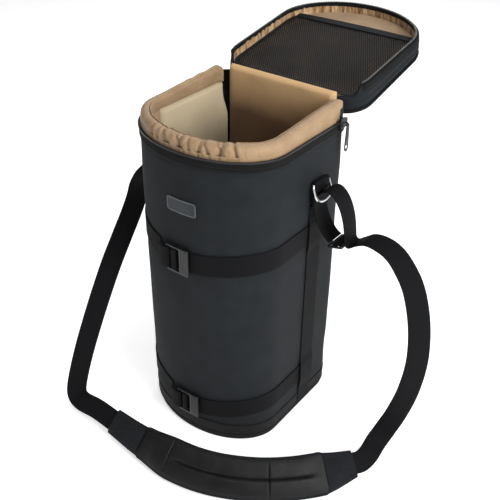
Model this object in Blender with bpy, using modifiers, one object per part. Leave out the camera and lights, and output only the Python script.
"""A padded telescope carry case, standing open on its base with its shoulder strap laid round it.

Metres, +Z up, +X to the wearer's right and +Y to the back, where the lid is hinged. The origin is
the centre of the base, on the floor. The plan is flat at the back, straight at the sides and half
an ellipse at the front. Places on the wall are given by their distance along the plan from the
middle of the front, positive to the right.
"""

import math

import bmesh
import bpy
from mathutils import Matrix, Vector

# Driving dimensions of the case
WIDTH = 0.220
DEPTH = 0.229
ZIP_HEIGHT = 0.4625
SIDE_LENGTH = 0.153
CORNER = 0.032
WALL = 0.0025
FOAM = 0.012
GAP = 0.0004

HALF = WIDTH / 2
BACK = DEPTH / 2
FRONT_START = BACK - SIDE_LENGTH
FRONT_DEPTH = DEPTH - SIDE_LENGTH

# The base, the inner pads and the collar
BASE_THICK = 0.0075
PIPING_R = 0.0024
SHELL_BOTTOM = BASE_THICK + 2 * PIPING_R + 2 * GAP
FLOOR_TOP = BASE_THICK + GAP + 0.010
PAD_BOTTOM = FLOOR_TOP + GAP
PAD_OUT = -WALL - GAP
PAD_IN = PAD_OUT - FOAM
PAD_TOP = ZIP_HEIGHT + 0.0078
COLLAR_BOTTOM = PAD_TOP + GAP
COLLAR_FRONT = ZIP_HEIGHT + 0.0250
COLLAR_BACK = ZIP_HEIGHT + 0.0340
BACK_PAD_TOP = ZIP_HEIGHT + 0.0355
LINER_SEAM = FRONT_START + 0.0045

# The fabric corners beside the hinge
GUSSET_START = BACK - 0.0290
GUSSET = 0.0010

# The zip: each chain is half of the closed zip, and the lid's half turns with the lid
CHAIN_R = 0.0015
CHAIN_OUT = 0.0010
CHAIN_Z = ZIP_HEIGHT + 0.0055
LID_CHAIN_Z = CHAIN_Z + 2 * CHAIN_R + 0.0005
TAPE = 0.0010
TAPE_WIDTH = 0.0115
ZIP_END = BACK - 0.019
SLIDER_Y = BACK - 0.0325

# The lid, as it stands when it is shut
OPEN_ANGLE = math.radians(170)
HINGE_Y = BACK + 0.0030
HINGE_Z = ZIP_HEIGHT + 0.0235
LID_OUT = 0.0040
SKIRT = 0.0020
SKIRT_BOTTOM = LID_CHAIN_Z + CHAIN_R + 0.0005
HINGE_SIDE = BACK - 0.0090
LID_PAD = 0.0080
LID_CEILING = ZIP_HEIGHT + 0.0363
LID_SLOPE = 0.0437
POCKET_FRONT = -0.070
POCKET_BACK = 0.0970
POCKET_THICK = 0.0010

# Webbing and its hardware
WEB = 0.032
WEB_THICK = 0.0015
WEB_Y = 0.034
SIDE_WEB_TOP = 0.3720
RING_X = HALF + 0.0065
RING_Z = 0.4035
RING_WIRE = 0.0019
RING_HALF = 0.0183
RING_LEG = 0.016
RING_BOW = 0.010
RING_TILT = math.radians(20)
BANDS = {"upper": (0.3245, 0.3120, -0.001), "lower": (0.0735, 0.0570, 0.006)}
BUCKLE_LONG = 0.038
BUCKLE_TALL = 0.041
BUCKLE_THICK = 0.0035
BUCKLE_OUT = 0.0050

# The shoulder pad lies on the floor, leaning away from the front
PAD_WIDE = 0.058
TAB_END = 0.038
PAD_THICK = 0.012
PAD_LEAN = math.radians(45)
PAD_HEIGHT = 0.0270
FACING = Vector((0.45, -0.60, 0.66))

BLACK = (0.016, 0.017, 0.018)
WEBBING = (0.020, 0.021, 0.023)
LEATHER = (0.013, 0.013, 0.013)
TAN = (0.52, 0.36, 0.20)
TAUPE = (0.36, 0.30, 0.21)
PLASTIC = (0.010, 0.010, 0.011)
STEEL = (0.75, 0.75, 0.76)
GREY = (0.10, 0.11, 0.12)


def clear_scene():
    for obj in list(bpy.data.objects):
        bpy.data.objects.remove(obj, do_unlink=True)


def new_collection(name):
    collection = bpy.data.collections.new(name)
    bpy.context.scene.collection.children.link(collection)
    return collection


def finish_part(obj, colour, roughness=0.8, metallic=0.0, parent=None):
    """Links a part to the case's collection, gives it a material and hangs it on its pivot."""
    CASE.objects.link(obj)
    material = bpy.data.materials.new(obj.name)
    material.use_nodes = True
    shader = material.node_tree.nodes["Principled BSDF"]
    shader.inputs["Base Color"].default_value = (*colour, 1.0)
    shader.inputs["Roughness"].default_value = roughness
    shader.inputs["Metallic"].default_value = metallic
    obj.data.materials.append(material)
    if parent:
        obj.parent = parent
        obj.matrix_parent_inverse = parent.matrix_world.inverted()
    return obj


def pivot(name, place):
    """An empty on a joint's axis."""
    empty = bpy.data.objects.new(name, None)
    empty.location = place
    empty.empty_display_size = 0.02
    CASE.objects.link(empty)
    bpy.context.view_layer.update()
    return empty


def half_plan():
    """Points and outward normals of the plan's right half, from the front's middle to the back's."""
    rows = []
    for step in range(15):
        turn = math.radians(90) * step / 14
        point = Vector((HALF * math.sin(turn), FRONT_START - FRONT_DEPTH * math.cos(turn)))
        normal = Vector((math.sin(turn) / HALF, -math.cos(turn) / FRONT_DEPTH)).normalized()
        rows.append((point, normal))
    centre = Vector((HALF - CORNER, BACK - CORNER))
    for step in range(7):
        turn = math.radians(90) * step / 6
        normal = Vector((math.cos(turn), math.sin(turn)))
        rows.append((centre + CORNER * normal, normal))
    rows.append((Vector((0, BACK)), Vector((0, 1))))
    return rows


def with_distances(rows):
    distance = 0.0
    out = []
    for index, (point, normal) in enumerate(rows):
        if index:
            distance += (point - rows[index - 1][0]).length
        out.append((distance, point, normal))
    return out


def on_plan(distance, outward):
    """The plan's point at a distance from the front's middle, moved outward by a little."""
    side = math.copysign(1, distance)
    reach = min(abs(distance), PLAN[-1][0])
    for low, high in zip(PLAN, PLAN[1:]):
        if reach <= high[0]:
            break
    share = (reach - low[0]) / (high[0] - low[0])
    point = low[1].lerp(high[1], share) + outward * low[2].lerp(high[2], share).normalized()
    return Vector((side * point.x, point.y))


def at_side(y):
    """The distance along the plan at which the straight side has this y."""
    return FRONT_LENGTH + y - FRONT_START


def stations(start, end):
    """The distances of the plan's corners between two places, and the two places."""
    between = [row[0] for row in PLAN] + [-row[0] for row in PLAN[1:]]
    return [start] + sorted(place for place in between if start + 1e-4 < place < end - 1e-4) + [end]


def height(value, y):
    return value(y) if callable(value) else value


def strip_object(name, rails, closed=False):
    """An open surface from pairs of points, one quad between each pair and the next."""
    mesh = bmesh.new()
    pairs = [[mesh.verts.new(point) for point in pair] for pair in rails]
    following = pairs[1:] + pairs[:1] if closed else pairs[1:]
    for first, second in zip(pairs, following):
        mesh.faces.new((first[0], second[0], second[1], first[1]))
    data = bpy.data.meshes.new(name)
    mesh.to_mesh(data)
    mesh.free()
    return bpy.data.objects.new(name, data)


def thicken(obj, thickness, offset):
    solidify = obj.modifiers.new("thickness", "SOLIDIFY")
    solidify.thickness = thickness
    solidify.offset = offset
    solidify.use_even_offset = True


def round_edges(obj, width, segments=2):
    bevel = obj.modifiers.new("soft edges", "BEVEL")
    bevel.width = width
    bevel.segments = segments
    bevel.limit_method = "ANGLE"
    bevel.angle_limit = math.radians(50)


def wall(name, low, high, outer, inner, start=None, end=None):
    """A wall that follows the plan, between two distances or all the way round."""
    closed = start is None
    if closed:
        places = stations(-PLAN[-1][0], PLAN[-1][0])[:-1]
    else:
        places = stations(start, end)
    rails = []
    for place in places:
        x, y = on_plan(place, outer)
        rails.append(((x, y, height(low, y)), (x, y, height(high, y))))
    obj = strip_object(name, rails, closed)
    thicken(obj, outer - inner, -1)
    return obj


def outline(outward):
    """The whole plan as one loop of points."""
    return [on_plan(place, outward) for place in stations(-PLAN[-1][0], PLAN[-1][0])[:-1]]


def plate(name, loops, thickness):
    """A flat plate from a 2D outline and any holes in it, centred on its own plane."""
    curve = bpy.data.curves.new(name, "CURVE")
    curve.dimensions = "2D"
    curve.fill_mode = "BOTH"
    curve.extrude = thickness / 2
    for loop in loops:
        spline = curve.splines.new("POLY")
        spline.points.add(len(loop) - 1)
        for point, (x, y) in zip(spline.points, loop):
            point.co = (x, y, 0, 1)
        spline.use_cyclic_u = True
    obj = bpy.data.objects.new(name, curve)
    weld = obj.modifiers.new("join the caps", "WELD")
    weld.merge_threshold = 0.00001
    return obj


def slab(name, outward, low, high):
    """A plate with the case's own plan."""
    obj = plate(name, [outline(outward)], high - low)
    obj.location.z = (low + high) / 2
    return obj


def tube(name, points, radius, closed=False, resolution=2):
    curve = bpy.data.curves.new(name, "CURVE")
    curve.dimensions = "3D"
    curve.bevel_depth = radius
    curve.bevel_resolution = resolution
    curve.use_fill_caps = not closed
    spline = curve.splines.new("POLY")
    spline.points.add(len(points) - 1)
    for point, place in zip(spline.points, points):
        point.co = (*place, 1)
    spline.use_cyclic_u = closed
    obj = bpy.data.objects.new(name, curve)
    weld = obj.modifiers.new("join the caps", "WELD")
    weld.merge_threshold = 0.00001
    return obj


def smooth(route, per_span):
    """Points on a Catmull-Rom curve through the route's points, which may carry extra values."""
    points = [Vector(point) for point in route]
    points = [2 * points[0] - points[1]] + points + [2 * points[-1] - points[-2]]
    out = []
    for a, b, c, d in zip(points, points[1:], points[2:], points[3:]):
        for step in range(per_span):
            t = step / per_span
            out.append(0.5 * (2 * b + (c - a) * t + (2 * a - 5 * b + 4 * c - d) * t ** 2
                              + (3 * b - a - 3 * c + d) * t ** 3))
    return out + [points[-2]]


def ribbon(name, centres, acrosses, width, thickness):
    """A flat strap down a line of centres, each with the direction of its width."""
    rails = []
    for index, (centre, across) in enumerate(zip(centres, acrosses)):
        ahead = centres[min(index + 1, len(centres) - 1)] - centres[max(index - 1, 0)]
        ahead.normalize()
        across = (across - across.dot(ahead) * ahead).normalized()
        rails.append((centre - across * width / 2, centre + across * width / 2))
    obj = strip_object(name, rails)
    thicken(obj, thickness, 0)
    return obj


def side_strap(name, profile, side, width=WEB):
    """A strap whose width lies along Y at the side of the case, from its line in x and z."""
    centres = [Vector((side * x, WEB_Y, z)) for x, z in profile]
    return ribbon(name, centres, [Vector((0, 1, 0))] * len(centres), width, WEB_THICK)


def make_base_and_shell():
    finish_part(slab("base_panel", -0.0010, 0, BASE_THICK), BLACK, 0.7)
    ring = [(x, y, BASE_THICK + GAP + PIPING_R) for x, y in outline(-PIPING_R + 0.001)]
    finish_part(tube("base_piping", ring, PIPING_R, closed=True), BLACK, 0.6)
    shell = wall("outer_shell", SHELL_BOTTOM, ZIP_HEIGHT, 0, -WALL)
    finish_part(shell, BLACK, 0.85)


def back_pad_plan():
    """The back pad's plan, with its outer corners cut to clear the shell's round ones."""
    deep = BACK + PAD_OUT - GAP
    front = deep - FOAM
    wide = HALF + PAD_IN - 0.0055
    return [(-wide, front), (wide, front), (wide, front + 0.001), (wide - 0.0150, deep),
            (0.0150 - wide, deep), (-wide, front + 0.001)]


def side_pad_plan(side):
    """A side pad's plan: straight inside, cut at the back to clear the shell's round corner."""
    outer = HALF + PAD_OUT
    inner = outer - FOAM
    end = BACK + PAD_OUT - FOAM - GAP
    corners = [(inner, LINER_SEAM), (outer, LINER_SEAM), (outer, BACK - CORNER + 0.002),
               (outer - 0.0095, end), (inner, end)]
    return [(side * x, y) for x, y in corners]


def make_pads():
    floor = slab("floor_pad", -2 * PIPING_R, BASE_THICK + GAP, FLOOR_TOP)
    finish_part(floor, TAUPE, 0.95)
    limit = at_side(LINER_SEAM - 0.0005)
    front = wall("front_pad", PAD_BOTTOM, PAD_TOP, PAD_OUT, PAD_IN, -limit, limit)
    finish_part(front, TAN, 0.95)
    for side, name in ((-1, "left_pad"), (1, "right_pad")):
        pad = plate(name, [side_pad_plan(side)], PAD_TOP - PAD_BOTTOM)
        pad.location.z = (PAD_TOP + PAD_BOTTOM) / 2
        finish_part(pad, TAUPE, 0.95)
    back = plate("back_pad", [back_pad_plan()], BACK_PAD_TOP - PAD_BOTTOM)
    back.location.z = (BACK_PAD_TOP + PAD_BOTTOM) / 2
    finish_part(back, TAN, 0.95)


def collar_top(y):
    """The collar climbs from the front of the case to the lid's hinge."""
    share = max(0.0, (y - FRONT_START) / (BACK - FRONT_START))
    return COLLAR_FRONT + (COLLAR_BACK - COLLAR_FRONT) * share


def make_collar():
    end = at_side(GUSSET_START - GAP)
    collar = wall("rim_collar", COLLAR_BOTTOM, collar_top, -0.0012, -0.0165, -end, end)
    round_edges(collar, 0.0050, 3)
    finish_part(collar, TAN, 0.8)


def zip_line(z, outward):
    limit = at_side(ZIP_END)
    return [(*on_plan(place, outward), z) for place in stations(-limit, limit)]


def make_body_zip():
    limit = at_side(ZIP_END)
    top = CHAIN_Z - CHAIN_R - GAP
    tape = wall("zipper_lower_tape", top - TAPE_WIDTH, top, GAP + TAPE, GAP, -limit, limit)
    finish_part(tape, BLACK, 0.8)
    chain = tube("zipper_lower_chain", zip_line(CHAIN_Z, CHAIN_OUT), CHAIN_R)
    finish_part(chain, PLASTIC, 0.4)
    for side, name in ((-1, "zipper_end_tab_left"), (1, "zipper_end_tab_right")):
        ends = sorted((side * (limit - 0.011), side * (limit + 0.003)))
        out = 2 * GAP + TAPE
        tab = wall(name, top - TAPE_WIDTH - 0.002, top - 0.001, out + TAPE, out, *ends)
        finish_part(tab, BLACK, 0.7)


def make_hinge():
    """The tape that carries the lid along the back, and the gussets that close its corners."""
    half = HALF - CORNER
    low, high = ZIP_HEIGHT - 0.014, HINGE_Z - 2 * GAP
    rails = [((x, BACK + GAP, low), (x, BACK + GAP, high)) for x in (half, -half)]
    strip = strip_object("hinge_tape", rails)
    thicken(strip, 0.0008, 1)
    finish_part(strip, BLACK, 0.85)
    ends = at_side(GUSSET_START), PLAN[-1][0] - half
    for side, name in ((-1, "left"), (1, "right")):
        start, end = sorted(side * place for place in ends)
        gusset = wall(f"corner_gusset_{name}", COLLAR_BOTTOM, HINGE_Z - 0.0015, PAD_OUT + GAP / 2,
                      PAD_OUT + GAP / 2 - GUSSET, start, end)
        finish_part(gusset, BLACK, 0.85)


def lid_low(y):
    """The lower edge of the lid's wall: it stops above the hinge line along the back."""
    return HINGE_Z + 2 * GAP if y > HINGE_SIDE else SKIRT_BOTTOM


def lining_low(y):
    return lid_low(y) + 0.002


def ceiling(y):
    """The underside of the lid's pad: the lid is thinner at its front than at its hinge."""
    return LID_CEILING + LID_SLOPE * (y - BACK)


def skirt_top(y):
    return ceiling(y) + LID_PAD


def lining_top(y):
    return ceiling(y) - GAP


def slope_with_lid(obj):
    """A part that was made level at the hinge's height, sloped down to the lid's front."""
    made = as_mesh(obj)
    for vertex in made.data.vertices:
        vertex.co.z += LID_SLOPE * (vertex.co.y - BACK)
    return made


def make_lid():
    """The lid is built shut, and its pivot then turns it open."""
    hinge = pivot("lid_pivot", (0, HINGE_Y, HINGE_Z))

    def on_lid(obj, colour, roughness):
        finish_part(obj, colour, roughness, parent=hinge)

    on_lid(wall("lid_skirt", lid_low, skirt_top, LID_OUT, LID_OUT - SKIRT), BLACK, 0.85)
    pad_top = LID_CEILING + LID_PAD
    panel = slab("lid_top_panel", LID_OUT - 0.0027, pad_top + GAP, pad_top + GAP + WALL)
    on_lid(slope_with_lid(panel), BLACK, 0.85)
    edge = [(x, y, skirt_top(y) + GAP + PIPING_R) for x, y in outline(LID_OUT)]
    on_lid(tube("lid_piping", edge, PIPING_R - GAP, closed=True), BLACK, 0.6)
    lining_out = LID_OUT - SKIRT - GAP
    on_lid(slope_with_lid(slab("lid_top_pad", lining_out, LID_CEILING, pad_top)), TAN, 0.9)
    on_lid(wall("lid_side_lining", lining_low, lining_top, lining_out, 0.0), TAN, 0.9)

    limit = at_side(ZIP_END)
    tape_in = LID_OUT + GAP
    tape = wall("lid_zipper_tape", SKIRT_BOTTOM, SKIRT_BOTTOM + 0.008, tape_in + TAPE, tape_in,
                -limit, limit)
    on_lid(tape, BLACK, 0.8)
    on_lid(tube("lid_zipper_chain", zip_line(LID_CHAIN_Z, CHAIN_OUT), CHAIN_R), PLASTIC, 0.4)
    make_pocket(on_lid)
    hinge.rotation_euler.x = -OPEN_ANGLE


def pocket_plan(front, back, inset):
    """The plan between two lines across the lid, for the pocket and its binding."""
    loop = [point for point in outline(inset) if front < point.y < back]
    right = sorted((point for point in loop if point.x > 0), key=lambda point: point.y)
    x_front = HALF * math.sqrt(max(0.0, 1 - ((front - FRONT_START) / FRONT_DEPTH) ** 2)) + inset
    x_back = right[-1].x - 0.002 if right else x_front
    right = [Vector((x_front, front))] + right + [Vector((x_back, back))]
    return right + [Vector((-point.x, point.y)) for point in reversed(right)]


def make_pocket(on_lid):
    low = LID_CEILING - GAP - POCKET_THICK
    net = plate("mesh_pocket", [pocket_plan(POCKET_FRONT + 0.0108, POCKET_BACK, -0.0025)],
                POCKET_THICK)
    net.location.z = low + POCKET_THICK / 2
    on_lid(slope_with_lid(net), PLASTIC, 0.8)
    front = POCKET_FRONT
    half_x = pocket_plan(front, POCKET_BACK, -0.0025)[0].x + 0.0005
    band = [(-half_x, front), (half_x, front), (half_x, front + 0.0104), (-half_x, front + 0.0104)]
    binding = plate("pocket_binding", [band], 0.0014)
    binding.location.z = low + POCKET_THICK - 0.0007
    on_lid(slope_with_lid(binding), BLACK, 0.7)


def bump(z, centre, tall, spread):
    """A smooth bulge over something of half height `spread` at a given height."""
    return tall * math.exp(-(((z - centre) / spread) ** 6))


def make_side_webbing(side, name):
    low = SHELL_BOTTOM + 0.001
    count = 48
    profile = []
    for step in range(count + 1):
        z = low + (SIDE_WEB_TOP - low) * step / count
        lift = sum(bump(z, band[0], 0.0028, WEB / 2 + 0.008) for band in BANDS.values())
        profile.append((HALF + GAP + WEB_THICK / 2 + lift, z))
    finish_part(side_strap(f"side_webbing_{name}", profile, side), WEBBING, 0.8)


def make_ring_loop(side, name):
    """The webbing loop that holds the ring's bar, stitched to the shell below it."""
    radius = 0.0035
    foot = SIDE_WEB_TOP + 0.002
    profile = [(RING_X - radius, foot + 0.002), (RING_X - radius, RING_Z - 0.008)]
    for step in range(9):
        turn = math.radians(180 - 180 * step / 8)
        profile.append((RING_X + radius * math.cos(turn), RING_Z + radius * math.sin(turn)))
    profile += [(RING_X + radius, RING_Z - 0.009), (RING_X + 0.0004, RING_Z - 0.020),
                (RING_X - 0.0012, foot)]
    finish_part(side_strap(f"ring_loop_{name}", profile, side), WEBBING, 0.8)


def make_d_ring(side, name):
    """A D of steel wire, straight along its bar and its two legs, round at its bow."""
    centre = pivot(f"d_ring_{name}_pivot", (side * RING_X, WEB_Y, RING_Z))
    points = [(0, -RING_HALF, 0), (0, -RING_HALF, -RING_LEG)]
    for step in range(1, 12):
        turn = math.radians(180) * step / 12
        points.append((0, -RING_HALF * math.cos(turn), -RING_LEG - RING_BOW * math.sin(turn)))
    points += [(0, RING_HALF, -RING_LEG), (0, RING_HALF, 0)]
    ring = tube(f"d_ring_{name}", points, RING_WIRE, closed=True)
    ring.location = centre.location
    bpy.context.view_layer.update()
    finish_part(ring, STEEL, 0.2, 1.0, centre)
    centre.rotation_euler.y = -side * RING_TILT


def band_height(band, distance):
    """A band's middle height: it dips a little where it reaches its buckle."""
    side_z, buckle_z, place = BANDS[band]
    share = min(1.0, abs(distance - place) / (at_side(WEB_Y) - abs(place)) * 1.6)
    ease = share * share * (3 - 2 * share)
    return buckle_z + (side_z - buckle_z) * ease


def band_strip(name, band, start, end, outward):
    """Part of a compression band, lying flat on the shell."""
    rails = []
    for place in stations(start, end):
        x, y = on_plan(place, outward)
        z = band_height(band, place)
        rails.append(((x, y, z - WEB / 2), (x, y, z + WEB / 2)))
    obj = strip_object(name, rails)
    thicken(obj, WEB_THICK, -1)
    return obj


def local_frame(distance, z, outward):
    """The buckle's own axes: x along the band, y up and z straight out of the wall."""
    here = on_plan(distance, outward)
    ahead = (on_plan(distance + 0.01, 0) - on_plan(distance - 0.01, 0)).normalized()
    along = Vector((ahead.x, ahead.y, 0))
    up = Vector((0, 0, 1))
    out = along.cross(up)
    frame = Matrix((along, up, out)).transposed().to_4x4()
    frame.translation = (here.x, here.y, z)
    return frame


def place_in(obj, frame):
    obj.matrix_world = frame
    bpy.context.view_layer.update()
    return obj


def as_mesh(obj):
    """A mesh object in place of a curve, with its caps welded on."""
    bpy.context.scene.collection.objects.link(obj)
    bpy.context.view_layer.update()
    made = obj.evaluated_get(bpy.context.evaluated_depsgraph_get())
    data = bpy.data.meshes.new_from_object(made)
    data.transform(obj.matrix_world)
    mesh = bmesh.new()
    mesh.from_mesh(data)
    bmesh.ops.remove_doubles(mesh, verts=mesh.verts, dist=0.00001)
    mesh.to_mesh(data)
    mesh.free()
    name = obj.name
    bpy.data.objects.remove(obj)
    return bpy.data.objects.new(name, data)


def add_to(obj, extra):
    """Unites a body with another, which stays behind as a hidden helper."""
    extra.hide_render = True
    extra.display_type = "WIRE"
    CUTTERS.objects.link(extra)
    union = obj.modifiers.new("with " + extra.name, "BOOLEAN")
    union.operation = "UNION"
    union.object = extra


def oblong(x_low, x_high, tall):
    half = tall / 2
    return [(x_low, -half), (x_high, -half), (x_high, half), (x_low, half)]


def bent_strip(name, line, width):
    """A strap across a buckle, from its line along and out of the wall."""
    obj = strip_object(name, [((x, -width / 2, z), (x, width / 2, z)) for x, z in line])
    thicken(obj, WEB_THICK, 0)
    return obj


def make_band(band):
    """A compression band: anchored strap, buckle, and the adjusting strap that it grips."""
    place, z = BANDS[band][2], BANDS[band][1]
    lift = GAP + WEB_THICK
    end = at_side(WEB_Y + 0.010)
    bar = place - BUCKLE_LONG / 2 + 0.00225
    run = band_strip(f"{band}_strap_run", band, place - 0.006, end, lift)
    finish_part(run, WEBBING, 0.8)
    anchor = band_strip(f"{band}_strap_anchor", band, -end, bar - 0.0185, lift)
    finish_part(anchor, WEBBING, 0.8)

    frame = local_frame(place, z, BUCKLE_OUT)
    left = bar - place
    radius = 0.00395
    line = [(left - 0.0165, 0.0016 - BUCKLE_OUT), (left - 0.0095, 0.0012 - BUCKLE_OUT)]
    for step in range(9):
        turn = math.radians(-90 + 180 * step / 8)
        line.append((left + radius * math.cos(turn), radius * math.sin(turn)))
    line += [(left - 0.008, radius - 0.0006), (left - 0.015, 0.0008)]
    loop = place_in(bent_strip(f"{band}_buckle_loop", line, WEB), frame)
    finish_part(loop, WEBBING, 0.8)

    centre = pivot(f"{band}_buckle_pivot", frame @ Vector((left, 0, 0)))
    body = oblong(-BUCKLE_LONG / 2, BUCKLE_LONG / 2, BUCKLE_TALL)
    slots = [oblong(-0.0145, -0.0075, 0.034), oblong(-0.0035, 0.0035, 0.034)]
    buckle = place_in(plate(f"{band}_buckle", [body] + slots, BUCKLE_THICK), frame)
    finish_part(buckle, PLASTIC, 0.4, parent=centre)
    half = BUCKLE_THICK / 2
    wrap = [(-0.0087, -half - 0.0008), (-0.0087, half + 0.0002), (-0.0075, half + 0.0012),
            (-0.0035, half + 0.0012), (-0.0023, half + 0.0002), (-0.0023, -half - 0.0008)]
    cover = place_in(bent_strip(f"{band}_strap_wrap", wrap, WEB), frame)
    finish_part(cover, WEBBING, 0.8, parent=centre)


def make_badge():
    badge = wall("badge", 0.3840, 0.4040, GAP + 0.0014, GAP, -0.017, 0.029)
    finish_part(badge, GREY, 0.6)


def loop_route(side):
    """The strap's tail, from the adjuster up through the ring and back down; its width is along Y."""
    line = [(0.1455, 0.3262), (0.1370, 0.3315), (0.1265, 0.3450), (0.1200, 0.3610),
            (0.1180, 0.3740), (0.1197, 0.3845), (0.1245, 0.3922), (0.1315, 0.3980),
            (0.1400, 0.3990), (0.1500, 0.3920), (0.1585, 0.3785), (0.1645, 0.3605),
            (0.1675, 0.3430), (0.1692, 0.3325), (0.1740, 0.3298)]
    return [(side * x, WEB_Y, z, 0) for x, z in line]


# Each point of a strap's route is x, y, z and how far the webbing has turned its face to the front
RIGHT_STRAP = [
    (0.184, 0.034, 0.337, 0), (0.196, 0.034, 0.344, 0.1), (0.211, 0.034, 0.345, 0.3),
    (0.229, 0.034, 0.340, 0.5), (0.246, 0.033, 0.327, 0.7), (0.267, 0.032, 0.297, 0.9),
    (0.282, 0.032, 0.247, 1), (0.288, 0.032, 0.189, 1), (0.283, 0.032, 0.130, 1),
    (0.272, 0.030, 0.080, 1), (0.262, 0.023, 0.047, 1), (0.2575, 0.006, 0.031, 1),
    (0.2590, -0.016, 0.0278, 1), (0.2572, -0.0340, 0.0270, 1), (0.2516, -0.0438, 0.0270, 1)]
LEFT_STRAP = [
    (-0.182, 0.027, 0.327, 0.2), (-0.180, 0.006, 0.325, 0.5), (-0.170, -0.015, 0.322, 0.8),
    (-0.160, -0.033, 0.312, 1), (-0.155, -0.052, 0.294, 1), (-0.152, -0.078, 0.266, 1),
    (-0.152, -0.106, 0.228, 1), (-0.157, -0.136, 0.169, 1), (-0.162, -0.164, 0.107, 1),
    (-0.1655, -0.182, 0.058, 1), (-0.161, -0.1925, 0.035, 1), (-0.145, -0.1965, 0.0285, 1),
    (-0.115, -0.1938, 0.0272, 1), (-0.0786, -0.1954, 0.0270, 1)]


def make_shoulder_strap(side, name, route):
    """One length of webbing: tail, loop through the ring, and the run to the shoulder pad."""
    points = smooth(loop_route(side) + route, 3)
    centres = [point.xyz for point in points]
    acrosses = []
    for index, point in enumerate(points):
        ahead = centres[min(index + 1, len(points) - 1)] - centres[max(index - 1, 0)]
        facing = ahead.cross(FACING).normalized()
        acrosses.append(Vector((0, -1, 0)).lerp(facing, min(1.0, max(0.0, point.w))))
    strap = ribbon(f"shoulder_strap_{name}", centres, acrosses, 0.0305, WEB_THICK)
    finish_part(strap, WEBBING, 0.8)


def make_adjuster(side, name):
    """The tri-glide that the strap's tail is sewn to."""
    body = oblong(-0.0115, 0.0115, 0.038)
    slots = [oblong(-0.0085, -0.0025, 0.033), oblong(0.0025, 0.0085, 0.033)]
    glide = plate(f"strap_adjuster_{name}", [body] + slots, 0.0030)
    turn = Matrix.Rotation(side * math.radians(-14), 4, "Y")
    frame = Matrix.Translation((side * 0.1555, WEB_Y, 0.3250)) @ turn
    finish_part(place_in(glide, frame), PLASTIC, 0.4)


PAD_ROUTE = [(-0.0770, -0.1955), (-0.018, -0.1985), (0.047, -0.1955), (0.100, -0.1825),
             (0.150, -0.1570), (0.190, -0.1260), (0.226, -0.0860), (0.2510, -0.0450)]


def pad_strip(name, first, last, wide_first, wide_last, thick, colour, edge):
    """A stretch of the shoulder pad between two distances along its route."""
    line = smooth(PAD_ROUTE, 6)
    lengths = [0.0]
    for here, following in zip(line, line[1:]):
        lengths.append(lengths[-1] + (following - here).length)
    count = max(3, round((last - first) / 0.012))
    rails = []
    for step in range(count + 1):
        share = step / count
        want = first + (last - first) * share
        index = max(i for i, reach in enumerate(lengths[:-1]) if reach <= want)
        ahead = (line[index + 1] - line[index]).normalized()
        spot = line[index] + ahead * (want - lengths[index])
        behind = Vector((-ahead.y, ahead.x, 0))
        across = behind * math.cos(PAD_LEAN) + Vector((0, 0, 1)) * math.sin(PAD_LEAN)
        half = (wide_first + (wide_last - wide_first) * share) / 2
        centre = Vector((spot.x, spot.y, PAD_HEIGHT))
        rails.append((centre - across * half, centre + across * half))
    obj = strip_object(name, rails)
    thicken(obj, thick, 0)
    round_edges(obj, edge, 2)
    finish_part(obj, colour, 0.6)


def make_shoulder_pad():
    total = sum((b - a).length for a, b in zip(smooth(PAD_ROUTE, 6), smooth(PAD_ROUTE, 6)[1:]))
    left_end = 0.061
    right_end = total - 0.045
    pad_strip("pad_end_tab_left", 0, left_end - GAP, TAB_END, PAD_WIDE - 0.002, 0.008, BLACK, 0.002)
    pad_strip("shoulder_pad", left_end, right_end, PAD_WIDE, PAD_WIDE, PAD_THICK, LEATHER, 0.004)
    pad_strip("pad_end_tab_right", right_end + GAP, total, PAD_WIDE - 0.002, TAB_END, 0.008, BLACK,
              0.002)


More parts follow.
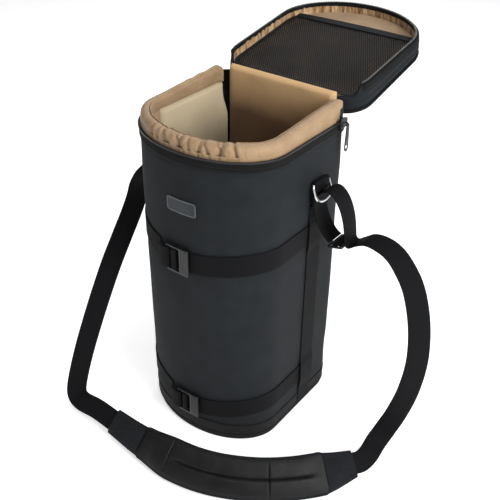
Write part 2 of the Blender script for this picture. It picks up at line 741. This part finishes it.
def make_slider():
    """The slider straddles the chain from outside; the pull's knuckle turns on its bar."""
    runner = pivot("zipper_slider_pivot", (HALF, SLIDER_Y, CHAIN_Z))
    face = HALF + 0.0060
    long, low, high = 0.016, ZIP_HEIGHT - 0.0010, ZIP_HEIGHT + 0.0140
    bar_x, bar_z = face + 0.0050, ZIP_HEIGHT + 0.0045
    outer = face + 0.0016
    profile = [(face, low), (outer, low), (outer, high), (face, high)]
    body = plate("zipper_slider", [profile], long)
    turn = Matrix(((1, 0, 0), (0, 0, -1), (0, 1, 0))).to_4x4()
    turn.translation = (0, SLIDER_Y, 0)
    body = as_mesh(place_in(body, turn))
    arch = [(face + 0.0004, SLIDER_Y - 0.0062, bar_z), (bar_x, SLIDER_Y - 0.0045, bar_z),
            (bar_x, SLIDER_Y + 0.0045, bar_z), (face + 0.0004, SLIDER_Y + 0.0062, bar_z)]
    add_to(body, as_mesh(tube("slider_bail", arch, 0.0008)))
    finish_part(body, PLASTIC, 0.35, parent=runner)
    make_pull(runner, bar_x, bar_z)


def make_pull(runner, bar_x, bar_z):
    """A flat tab with an open loop at its tip, hung from the slider's bail."""
    hook = pivot("zipper_pull_pivot", (bar_x, SLIDER_Y, bar_z))
    tab = [(-0.0030, 0.0012), (0.0030, 0.0012), (0.0044, -0.0300), (0.0038, -0.0345),
           (0.0016, -0.0372), (-0.0016, -0.0372), (-0.0038, -0.0345), (-0.0044, -0.0300)]
    eye = [(-0.0030, -0.0280), (0.0030, -0.0280), (0.0024, -0.0335), (-0.0024, -0.0335)]
    pull = plate("zipper_pull", [tab, eye], 0.0014)
    turn = Matrix(((0, 0, 1), (1, 0, 0), (0, 1, 0))).to_4x4()
    turn.translation = (bar_x + 0.0020, SLIDER_Y, bar_z)
    place_in(pull, turn)
    finish_part(pull, PLASTIC, 0.35, parent=hook)
    hook.parent = runner
    hook.matrix_parent_inverse = runner.matrix_world.inverted()


def build():
    make_base_and_shell()
    make_pads()
    make_collar()
    make_body_zip()
    make_hinge()
    make_lid()
    for side, name in ((-1, "left"), (1, "right")):
        make_side_webbing(side, name)
        make_ring_loop(side, name)
        make_d_ring(side, name)
        make_adjuster(side, name)
    make_shoulder_strap(1, "right", RIGHT_STRAP)
    make_shoulder_strap(-1, "left", LEFT_STRAP)
    make_shoulder_pad()
    for band in BANDS:
        make_band(band)
    make_badge()
    make_slider()


clear_scene()
CASE = new_collection("telescope_carry_case")
CUTTERS = new_collection("helpers")
PLAN = with_distances(half_plan())
FRONT_LENGTH = PLAN[14][0]
build()
